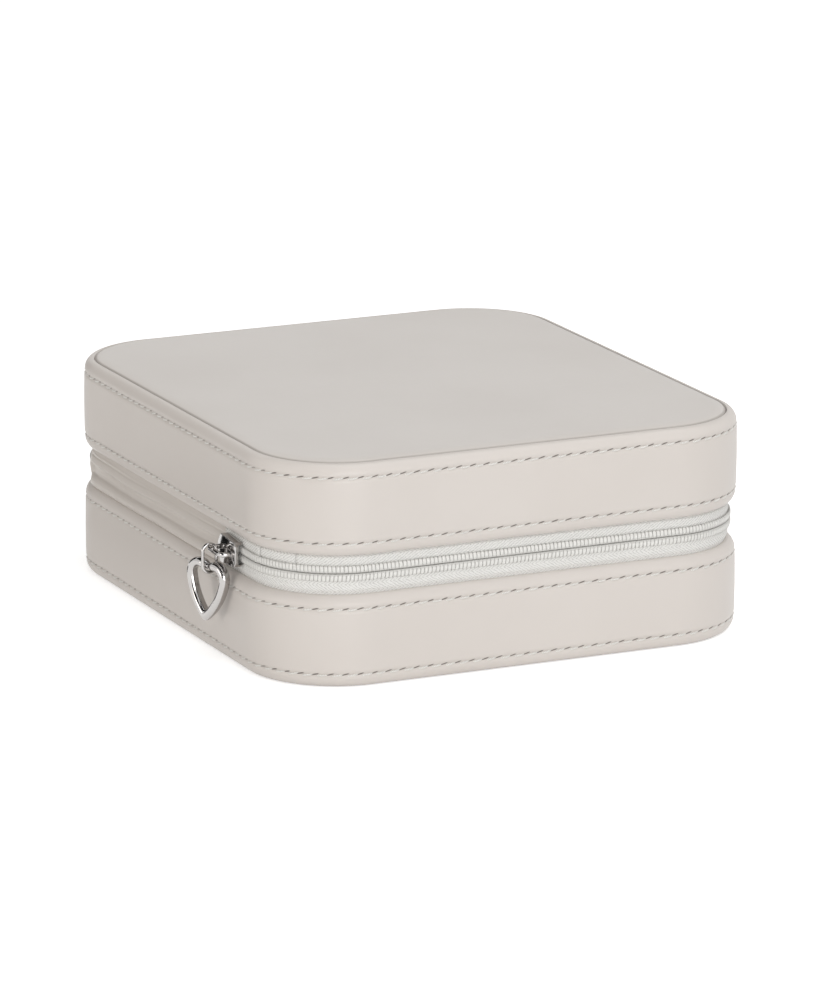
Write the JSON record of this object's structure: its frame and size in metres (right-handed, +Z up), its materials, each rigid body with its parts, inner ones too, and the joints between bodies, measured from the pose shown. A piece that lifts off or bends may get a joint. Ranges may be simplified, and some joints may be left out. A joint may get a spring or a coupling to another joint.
{
  "type": "jewelry box",
  "caption": "Zip-around travel jewelry case: two padded faux-leather trays with rounded corners on a hinge strip, a coil zip with a heart-shaped pull, and a lined inside with ring rolls.",
  "frame": {"origin": "middle of the case's footprint, on the surface that it stands on", "axes": "+X along the hinge side, +Y from the opening side to the hinge side, +Z up"},
  "size_m": [0.14, 0.1327, 0.054],
  "materials": {
    "leather": "satin off-white faux leather with a fine grain",
    "greyboard": "matt",
    "foam": "open-cell foam",
    "flock": "short velvet pile",
    "zip_tape": "herringbone woven tape",
    "zip_coil": "semi-gloss nylon",
    "plated_metal": "polished nickel plating"
  },
  "bodies": {
    "base": {"base_outer_band": "leather", "base_wall_core": "greyboard", "base_rim_collar": "greyboard", "base_bottom_panel": "leather", "base_floor_board": "greyboard", "base_wall_lining": "flock", "base_floor_lining": "flock", "ring_roll_1": "flock", "ring_roll_2": "flock", "ring_roll_3": "flock", "ring_roll_4": "flock", "ring_roll_5": "flock", "ring_roll_6": "flock", "long_divider": "flock", "cross_divider": "flock", "divider_guides": "flock", "zip_tape_lower": "zip_tape", "zip_coil_lower": "zip_coil", "zip_coil_lower_tail": "zip_coil", "zip_tape_upper_tail": "zip_tape", "zip_coil_upper_tail": "zip_coil", "zip_top_stops": "plated_metal", "zip_bottom_stop": "plated_metal", "hinge_strip": "leather"},
    "lid": {"lid_outer_band": "leather", "lid_wall_core": "greyboard", "lid_rim_collar": "greyboard", "lid_top_board": "greyboard", "lid_foam_pad": "foam", "lid_top_panel": "leather", "lid_wall_lining": "flock", "lid_ceiling_lining": "flock", "zip_tape_upper": "zip_tape", "zip_coil_upper": "zip_coil", "necklace_bar": "leather", "snap_stud_1": "plated_metal", "snap_stud_2": "plated_metal", "snap_stud_3": "plated_metal", "pocket_cloth": "flock", "pocket_hem": "flock"},
    "slider": {"slider_body": "plated_metal", "slider_bridge": "plated_metal"},
    "link": {"pull_link": "plated_metal"},
    "heart": {"pull_heart": "plated_metal"},
    "lifting_wall": {"lift_out_divider": "flock"},
    "tab_1": {"necklace_tab_1": "leather", "snap_cap_1": "plated_metal"},
    "tab_2": {"necklace_tab_2": "leather", "snap_cap_2": "plated_metal"},
    "tab_3": {"necklace_tab_3": "leather", "snap_cap_3": "plated_metal"}
  },
  "joints": [
    {"name": "lid_hinge", "type": "hinge", "parent": "base", "child": "lid", "pos_m": [0, 0.064, 0.0292], "axis": [-1, 0, 0], "range_deg": [0, 105], "deforming": ["hinge_strip", "zip_tape_upper_tail"]},
    {"name": "slider_travel", "type": "slide", "parent": "base", "child": "slider", "axis": [-1, 0, 0], "range_m": [0, 0.0065], "deforming": ["zip_coil_lower_tail", "zip_coil_upper_tail"]},
    {"name": "link_swing", "type": "hinge", "parent": "slider", "child": "link", "pos_m": [-0.0344, 0.0663, 0.0272], "axis": [-1, 0, 0], "range_deg": [-110, 0]},
    {"name": "heart_swing", "type": "hinge", "parent": "link", "child": "heart", "pos_m": [-0.0344, 0.0666, 0.023], "axis": [-0.948, -0.3182, 0], "range_deg": [-70, 0]},
    {"name": "wall_lift", "type": "slide", "parent": "base", "child": "lifting_wall", "axis": [0, 0, 1], "range_m": [0, 0.015]},
    {"name": "tab_1_fold", "type": "hinge", "parent": "lid", "child": "tab_1", "pos_m": [-0.03, -0.0451, 0.047], "axis": [-1, 0, 0], "range_deg": [0, 100]},
    {"name": "tab_2_fold", "type": "hinge", "parent": "lid", "child": "tab_2", "pos_m": [0, -0.0451, 0.047], "axis": [-1, 0, 0], "range_deg": [0, 100]},
    {"name": "tab_3_fold", "type": "hinge", "parent": "lid", "child": "tab_3", "pos_m": [0.03, -0.0451, 0.047], "axis": [-1, 0, 0], "range_deg": [0, 100]}
  ]
}
